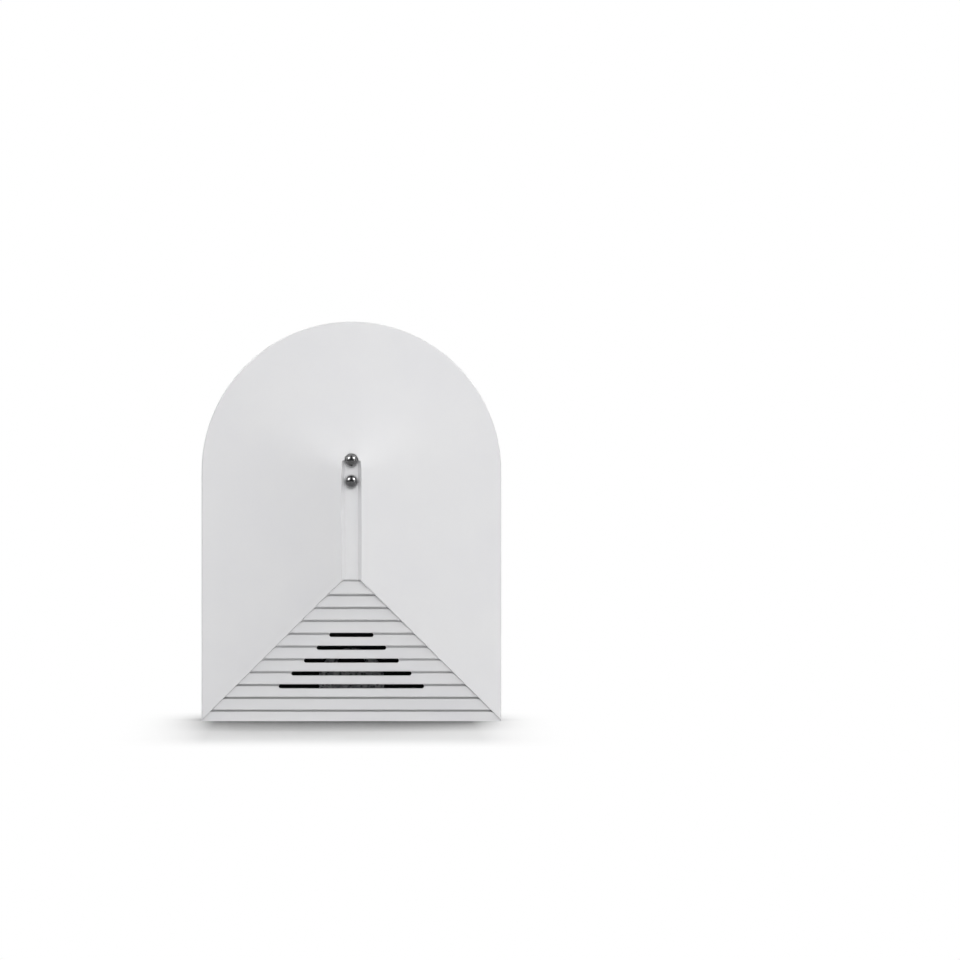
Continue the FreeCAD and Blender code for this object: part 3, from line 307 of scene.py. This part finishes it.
MATERIALS = {
    # White ABS from a spark-eroded mould: an even satin that is soft in the light, with painted shade in the
    # crevices under its laps
    "cover_abs": moulded("injection_moulded_white_abs_painted_crevice_shade", "#E5E5E6", "#E2E2E4", 0.46, 0.16, 0.004,
                         painted_crevice_shade=(0.55, 0.88)),
    # The same ABS from a coarser mould: a touch greyer and more matt than the cover
    "plate_abs": moulded("injection_moulded_grey_white_abs", "#DADADB", "#D6D6D7", 0.52, 0.22, 0.008),
    # Black solder mask: a dark satin field in which the copper shows only by its faint relief
    "board_laminate": laminate("solder_masked_glass_epoxy_laminate"),
    # Smoked epoxy: dark, wet-looking domes that mirror the strip lights
    "smoked_epoxy": smoked_epoxy("cast_smoked_epoxy"),
    # Natural nylon: warm off-white with a waxy sheen
    "spacer_nylon": moulded("moulded_natural_nylon", "#E4E0D2", "#D9D4C4", 0.50, 0.3, 0.006),
    # Dipped tin: soft grey shine with a hint of warmth
    "tinned_steel": metal("hot_tinned_steel", "#C6C5BF", "#B6B5AF", 0.28, 0.5),
    # Bright zinc: a cooler, slightly blue shine
    "zinc_steel": metal("bright_zinc_plated_steel", "#BFC2C7", "#AEB2B8", 0.30, 0.4),
    # Foamed silicone: painted shade darkens the cells between pale skins, so it looks speckled behind the
    # slots
    "boot_rubber": foamed_rubber("foamed_grey_silicone_rubber_painted_cell_shade"),
    # Drawn aluminium: pale and silky
    "capsule_can": metal("drawn_aluminium_can", "#D0D2D5", "#C4C7CB", 0.32, 0.6),
    # Pressed felt: swallows the light, with a coarse nap
    "black_felt": moulded("pressed_black_felt", "#1B1B1C", "#0D0D0E", 0.95, 0.18, 0.05, ior=1.46),
    # Green nylon: the usual mid green of terminals, half glossy
    "terminal_nylon": moulded("moulded_green_nylon", "#2B8A57", "#227549", 0.38, 0.3, 0.005),
    # Cream polyester: a smooth, warm case with soft highlights
    "relay_case": moulded("moulded_cream_polyester", "#E3E0D0", "#D6D2C0", 0.34, 0.4, 0.004),
    # Black polyamide: dark satin
    "switch_plastic": moulded("moulded_black_polyamide", "#242426", "#1A1A1C", 0.45, 0.25, 0.006),
    # Ivory acetal: smooth and slightly greasy, so that it slides
    "plunger_plastic": moulded("moulded_ivory_acetal", "#DAD4C0", "#CCC5AF", 0.36, 0.3, 0.004),
    # Black polyester: dark satin, a little duller than the switch
    "jumper_plastic": moulded("moulded_black_polyester", "#1F1F21", "#161618", 0.48, 0.25, 0.006),
    # Transfer-moulded epoxy: matt black with a fine even grain
    "chip_epoxy": moulded("transfer_moulded_black_epoxy", "#1D1D1F", "#151517", 0.55, 0.12, 0.006),
    # Drawn nickel silver: the brightest metal on the board
    "crystal_can": metal("drawn_nickel_silver_can", "#CBCBC7", "#BFBFB9", 0.24, 0.7),
    # Dipped epoxy coat: glossy blue with the slow waves of a dipped skin
    "varistor_coat": moulded("dipped_blue_epoxy_coat", "#2D5F9E", "#234C85", 0.25, 0.8, 0.03, ior=1.55),
    # Shrunk sleeve: thin, glossy and nearly black blue
    "capacitor_sleeve": moulded("shrunk_dark_blue_sleeve", "#1B2440", "#141B33", 0.22, 0.9, 0.01),
    # Sintered ceramic: dull tan with a dense grain
    "chip_ceramic": moulded("sintered_tan_ceramic", "#A98C66", "#8F7450", 0.50, 0.1, 0.003, ior=1.7),
    # Reflowed solder: the smoothest metal, with small sharp highlights
    "solder": metal("reflowed_tin_solder", "#CACAC6", "#B9B9B4", 0.18, 0.35),
}
for part in frame["record"]["subparts"]:
    cad_node = frame["nodes"][part["node"]]
    cad_node.data.materials.clear()
    cad_node.data.materials.append(MATERIALS[part["material_slot"]])


def finished(name, mesh, material, smooth=True):
    """A piece from a bmesh or mesh, with its material, riding on the housing."""
    if isinstance(mesh, bmesh.types.BMesh):
        data = bpy.data.meshes.new(name)
        bmesh.ops.recalc_face_normals(mesh, faces=mesh.faces)
        mesh.to_mesh(data)
        mesh.free()
    else:
        data = mesh
    data.materials.clear()
    data.materials.append(MATERIALS[material])
    data.polygons.foreach_set("use_smooth", [smooth] * len(data.polygons))
    piece = bpy.data.objects.new(name, data)
    bpy.context.scene.collection.objects.link(piece)
    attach(piece, "housing")
    return piece


def turned(outline, z):
    """A form turned about a line along the depth at a height: outline holds radius and depth."""
    bm = bmesh.new()
    rings = []
    for radius, depth in outline:
        y = BACK_Y - depth
        if radius == 0:
            rings.append([bm.verts.new((0.0, y * MM, z * MM))])
            continue
        ring = []
        for i in range(ROUND_STEPS):
            a = 2 * math.pi * i / ROUND_STEPS
            ring.append(bm.verts.new((radius * math.cos(a) * MM, y * MM, (z + radius * math.sin(a)) * MM)))
        rings.append(ring)
    for one, two in zip(rings, rings[1:]):
        for i in range(ROUND_STEPS):
            j = (i + 1) % ROUND_STEPS
            if len(one) == 1:
                bm.faces.new((one[0], two[i], two[j]))
            elif len(two) == 1:
                bm.faces.new((one[i], one[j], two[0]))
            else:
                bm.faces.new((one[i], one[j], two[j], two[i]))
    return bm


def lens_outline():
    """Outline of a light: a flange with worn corners, the foot in the hole, and a round dome."""
    outline = [(0, LED_BASE_DEPTH),
               (LED_FLANGE_RADIUS - FLANGE_BREAK, LED_BASE_DEPTH),
               (LED_FLANGE_RADIUS, LED_BASE_DEPTH + FLANGE_BREAK),
               (LED_FLANGE_RADIUS, LED_FLANGE_DEPTH - FLANGE_BREAK),
               (LED_FLANGE_RADIUS - FLANGE_BREAK, LED_FLANGE_DEPTH),
               (LED_FOOT_RADIUS, LED_FLANGE_DEPTH),
               (LED_FOOT_RADIUS, LED_FOOT_DEPTH - FOOT_BREAK),
               (LED_FOOT_RADIUS - FOOT_BREAK, LED_FOOT_DEPTH),
               (LED_RADIUS + FOOT_BREAK, LED_FOOT_DEPTH),
               (LED_RADIUS, LED_FOOT_DEPTH + FOOT_BREAK)]
    dome_depth = LED_TIP_DEPTH - LED_RADIUS
    for i in range(DOME_RINGS):
        a = math.pi / 2 * i / DOME_RINGS
        outline.append((LED_RADIUS * math.cos(a), dome_depth + LED_RADIUS * math.sin(a)))
    outline.append((0, LED_TIP_DEPTH))
    return outline


for name, z in zip(("led_upper", "led_lower"), LED_ZS):
    lens = finished(name + "_lens", turned(lens_outline(), z), "smoked_epoxy")
    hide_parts(name)


def slot_corner(bm, end, side, middle, up, depth):
    """Fillet in one corner of a slot's end, from the corner back to a quarter circle, through the wall."""
    r = SLOT_HEIGHT / 2
    outline = [(end + side * SLOT_LAP, middle), (end + side * SLOT_LAP, middle + up * (r + SLOT_LAP)),
               (end - side * r, middle + up * (r + SLOT_LAP))]
    for i in range(FILLET_STEPS + 1):
        a = math.pi / 2 * i / FILLET_STEPS
        outline.append((end - side * r * (1 - math.sin(a)), middle + up * r * math.cos(a)))
    front, back = [[bm.verts.new((x * MM, (BACK_Y - d) * MM, z * MM)) for x, z in outline]
                   for d in (depth, depth - SLOT_WALL)]
    bm.faces.new(front)
    bm.faces.new(back)
    for i in range(len(outline)):
        j = (i + 1) % len(outline)
        bm.faces.new((front[i], front[j], back[j], back[i]))


slot_ends = bmesh.new()
for lip, width, face_depth in SLOTS:
    for side in (-1, 1):
        middle = lip - SLOT_HEIGHT / 2
        slot_corner(slot_ends, side * width / 2, side, middle, 1, face_depth - FACE_SINK)
        slot_corner(slot_ends, side * width / 2, side, middle, -1, face_depth + SLAT_STEP - FACE_SINK)
finished("slot_ends", slot_ends, "cover_abs", smooth=False)


def solder_tree():
    """Fillets of solder on pins: a foot wetted out over its pad, drawn up to a neck, no two quite alike."""
    tree = bpy.data.node_groups.new("solder_on_pins", "GeometryNodeTree")
    tree.interface.new_socket("Pins", in_out="INPUT", socket_type="NodeSocketGeometry")
    for name, kind in (("Foot Radius", "Float"), ("Neck Radius", "Float"), ("Height", "Float"),
                       ("Unevenness", "Float"), ("Seed", "Int"), ("Finish", "Material")):
        tree.interface.new_socket(name, in_out="INPUT", socket_type="NodeSocket" + kind)
    tree.interface.new_socket("Solder", in_out="OUTPUT", socket_type="NodeSocketGeometry")
    given = add(tree, "NodeGroupInput").outputs
    # One fillet from a plain cylinder, 1 high round the origin: wide at its foot and narrow at its top
    blank = add(tree, "GeometryNodeMeshCylinder", {"fill_type": "NGON"}, Vertices=28, Side_Segments=9,
                Radius=1.0, Depth=1.0)
    place = add(tree, "GeometryNodeInputPosition")
    rise = add(tree, "ShaderNodeSeparateXYZ", Vector=place).outputs["Z"]
    left = add(tree, "ShaderNodeMath", {"operation": "SUBTRACT"}, _0=0.5, _1=rise)
    wetting = add(tree, "ShaderNodeMath", {"operation": "POWER"}, _0=left, _1=2.6)
    radius = add(tree, "ShaderNodeMapRange", Value=wetting, To_Min=given["Neck Radius"],
                 To_Max=given["Foot Radius"])
    size = add(tree, "ShaderNodeCombineXYZ", X=radius, Y=radius, Z=given["Height"])
    lifted = add(tree, "ShaderNodeVectorMath", {"operation": "ADD"}, _0=place, _1=(0.0, 0.0, 0.5))
    drawn = add(tree, "ShaderNodeVectorMath", {"operation": "MULTIPLY"}, _0=lifted, _1=size)
    fillet = add(tree, "GeometryNodeSetPosition", Geometry=blank, Position=drawn)
    # One on each pin, standing out of the back of the board
    least = add(tree, "ShaderNodeMath", {"operation": "SUBTRACT"}, _0=1.0, _1=given["Unevenness"])
    most = add(tree, "ShaderNodeMath", {"operation": "ADD"}, _0=1.0, _1=given["Unevenness"])
    uneven = add(tree, "FunctionNodeRandomValue", {"data_type": "FLOAT_VECTOR"}, Min=least, Max=most,
                 Seed=given["Seed"])
    joints = add(tree, "GeometryNodeInstanceOnPoints", Points=given["Pins"], Instance=fillet,
                 Rotation=(-math.pi / 2, 0.0, 0.0), Scale=uneven)
    joints = add(tree, "GeometryNodeRealizeInstances", Geometry=joints)
    joints = add(tree, "GeometryNodeSetMaterial", Geometry=joints, Material=given["Finish"])
    add(tree, "NodeGroupOutput", Solder=joints)
    return tree


def solder_joints():
    """One joint on each pin of the board, made by the node tree and kept as a plain mesh."""
    pins = []
    for columns, rows, across, up, x, z in PIN_FIELDS:
        for i in range(columns):
            for j in range(rows):
                pins.append(((x + (i - (columns - 1) / 2) * across) * MM, (BACK_Y - BOARD_BACK_DEPTH) * MM,
                             (z + (j - (rows - 1) / 2) * up) * MM))
    points = bpy.data.meshes.new("pin_points")
    points.from_pydata(pins, [], [])
    carrier = bpy.data.objects.new("pin_points", points)
    bpy.context.scene.collection.objects.link(carrier)
    modifier = carrier.modifiers.new("solder", "NODES")
    modifier.node_group = solder_tree()
    values = {"Foot Radius": SOLDER_FOOT_RADIUS * MM, "Neck Radius": SOLDER_NECK_RADIUS * MM,
              "Height": SOLDER_HEIGHT * MM, "Unevenness": SOLDER_UNEVENNESS, "Seed": SOLDER_SEED,
              "Finish": MATERIALS["solder"]}
    for item in modifier.node_group.interface.items_tree:
        if item.name in values:
            modifier[item.identifier] = values[item.name]
    graph = bpy.context.evaluated_depsgraph_get()
    plain = bpy.data.meshes.new_from_object(carrier.evaluated_get(graph))
    carrier.modifiers.remove(modifier)
    bpy.data.objects.remove(carrier)
    return finished("solder_joints", plain, "solder")


solder_joints()


def floor_paper():
    """Matt white paper: a soft painted shade where the sensor stands on it, and plain white round that patch.
    """
    made, tree, mm = begin("matt_white_paper_sweep_painted_contact_shade")
    path = add(tree, "ShaderNodeLightPath").outputs
    # Painted shade: as the eye sees it, the paper's colour darkens where the sensor stands near
    painted_contact_shade = add(tree, "ShaderNodeAmbientOcclusion", {"samples": 8},
                  Distance=PAINTED_CONTACT_REACH * MM).outputs["AO"]
    painted_contact_shade = add(tree, "ShaderNodeMath", {"operation": "POWER"}, _0=painted_contact_shade, _1=PAINTED_CONTACT_POWER)
    pale_with_painted_shade = add(tree, "ShaderNodeMix", {"data_type": "RGBA"}, Factor=painted_contact_shade, A=linear("#000000"),
                    B=linear("#E9E9E9"))
    pale = add(tree, "ShaderNodeMix", {"data_type": "RGBA"}, Factor=path["Is Camera Ray"],
               A=linear("#DCDCDC"), B=pale_with_painted_shade)
    paper = add(tree, "ShaderNodeBsdfPrincipled", Base_Color=pale, Roughness=0.9, Specular_IOR_Level=0.1)
    # How far a point lies outside the shaded patch
    spot = add(tree, "ShaderNodeSeparateXYZ", Vector=mm).outputs
    across = add(tree, "ShaderNodeMath", {"operation": "SUBTRACT"}, _0=spot["X"], _1=PATCH_MIDDLE[0])
    across = add(tree, "ShaderNodeMath", {"operation": "ABSOLUTE"}, _0=across)
    across = add(tree, "ShaderNodeMapRange", Value=across, From_Min=PATCH_ACROSS[0], From_Max=PATCH_ACROSS[1],
                 To_Min=1.0, To_Max=0.0)
    across = add(tree, "ShaderNodeMath", {"operation": "POWER"}, _0=across, _1=PATCH_ACROSS_POWER)
    ahead = add(tree, "ShaderNodeMath", {"operation": "SUBTRACT"}, _0=spot["Y"], _1=PATCH_MIDDLE[1])
    ahead = add(tree, "ShaderNodeMath", {"operation": "ABSOLUTE"}, _0=ahead)
    ahead = add(tree, "ShaderNodeMapRange", {"interpolation_type": "SMOOTHSTEP"}, Value=ahead,
                From_Min=PATCH_AHEAD[0], From_Max=PATCH_AHEAD[1], To_Min=1.0, To_Max=0.0)
    patch = add(tree, "ShaderNodeMath", {"operation": "MULTIPLY"}, _0=across, _1=ahead)
    outside = add(tree, "ShaderNodeMath", {"operation": "SUBTRACT"}, _0=1.0, _1=patch)
    # The white is there for the eye, through the lights, and for gloss where it looks back behind the sensor
    behind = add(tree, "ShaderNodeMapRange", Value=spot["Y"], From_Min=MIRRORED_FLOOR_YS[0],
                 From_Max=MIRRORED_FLOOR_YS[1])
    mirrored = add(tree, "ShaderNodeMath", {"operation": "MULTIPLY"}, _0=behind, _1=path["Is Glossy Ray"])
    seen = add(tree, "ShaderNodeMath", {"operation": "MAXIMUM"}, _0=path["Is Camera Ray"], _1=mirrored)
    seen = add(tree, "ShaderNodeMath", {"operation": "MAXIMUM"}, _0=seen, _1=path["Is Transmission Ray"])
    share = add(tree, "ShaderNodeMath", {"operation": "MULTIPLY"}, _0=outside, _1=seen)
    white = add(tree, "ShaderNodeEmission", Color=(1, 1, 1, 1), Strength=1.0)
    mixed = add(tree, "ShaderNodeMixShader", _0=share, _1=paper, _2=white)
    add(tree, "ShaderNodeOutputMaterial", Surface=mixed)
    return made


floor_mesh = bpy.data.meshes.new("floor")
half = FLOOR_HALF * MM
corners = [(-half, -half, 0), (half, -half, 0), (half, half, 0), (-half, half, 0)]
floor_mesh.from_pydata(corners, [], [(0, 1, 2, 3)])
floor_mesh.materials.append(floor_paper())
floor = bpy.data.objects.new("floor", floor_mesh)
bpy.context.scene.collection.objects.link(floor)

for name, place, width, height, power, in_gloss in LAMPS:
    lamp = bpy.data.lights.new(name, "AREA")
    lamp.shape = "RECTANGLE"
    lamp.size = width
    lamp.size_y = height
    lamp.energy = power
    softbox = bpy.data.objects.new(name, lamp)
    bpy.context.scene.collection.objects.link(softbox)
    softbox.location = place
    softbox.rotation_euler = (Vector(LAMP_AIM) - Vector(place)).to_track_quat("-Z", "Y").to_euler()
    softbox.visible_glossy = in_gloss


def studio():
    """White to the eye and through the lights, dim to all else, with backdrop and strip lights in gloss."""
    world = bpy.data.worlds.new("studio")
    world.use_nodes = True
    tree = world.node_tree
    tree.nodes.clear()
    path = add(tree, "ShaderNodeLightPath").outputs
    way = add(tree, "ShaderNodeTexCoord").outputs["Generated"]
    way = add(tree, "ShaderNodeSeparateXYZ", Vector=way).outputs
    backdrop = add(tree, "ShaderNodeMapRange", Value=way["Y"], From_Min=BACKDROP_FROM, From_Max=BACKDROP_FULL,
                   To_Min=DIM_ROOM, To_Max=1.0)
    side = add(tree, "ShaderNodeMath", {"operation": "ABSOLUTE"}, _0=way["X"])
    folded = add(tree, "ShaderNodeCombineXYZ", X=side, Y=way["Y"], Z=way["Z"])
    near = add(tree, "ShaderNodeVectorMath", {"operation": "DOT_PRODUCT"}, _0=folded, _1=STRIP_WAY)
    glow, core = [add(tree, "ShaderNodeMapRange", Value=near, From_Min=begins, From_Max=full, To_Max=strength)
                  for begins, full, strength in (STRIP_GLOW, STRIP_CORE)]
    strips = add(tree, "ShaderNodeMath", {"operation": "ADD"}, _0=glow, _1=core)
    mirrored = add(tree, "ShaderNodeMath", {"operation": "MAXIMUM"}, _0=backdrop, _1=strips)
    dim = add(tree, "ShaderNodeMix", Factor=path["Is Glossy Ray"], A=DIM_ROOM, B=mirrored)
    seen = add(tree, "ShaderNodeMath", {"operation": "MAXIMUM"}, _0=path["Is Camera Ray"],
               _1=path["Is Transmission Ray"])
    strength = add(tree, "ShaderNodeMix", Factor=seen, A=dim, B=1.0)
    light = add(tree, "ShaderNodeBackground", Color=(1, 1, 1, 1), Strength=strength)
    add(tree, "ShaderNodeOutputWorld", Surface=light)
    return world


bpy.context.scene.world = studio()

optics = bpy.data.cameras.new("camera")
optics.sensor_width = CAMERA_SENSOR_WIDTH
optics.lens = CAMERA_SENSOR_WIDTH * CAMERA_DISTANCE / (PICTURE / PIXELS_PER_MM)
optics.shift_x = (PICTURE / 2 - SENSOR_MIDDLE_X) / PICTURE
optics.shift_y = (SENSOR_MIDDLE_Y - PICTURE / 2) / PICTURE
optics.clip_start = 0.05
optics.clip_end = 20.0
camera = bpy.data.objects.new("camera", optics)
bpy.context.scene.collection.objects.link(camera)
camera.location = (0, (SILHOUETTE_Y - CAMERA_DISTANCE) * MM, CAMERA_HEIGHT * MM)
camera.rotation_euler = (math.pi / 2, 0, 0)
bpy.context.scene.camera = camera
bpy.context.scene.view_settings.view_transform = "Standard"
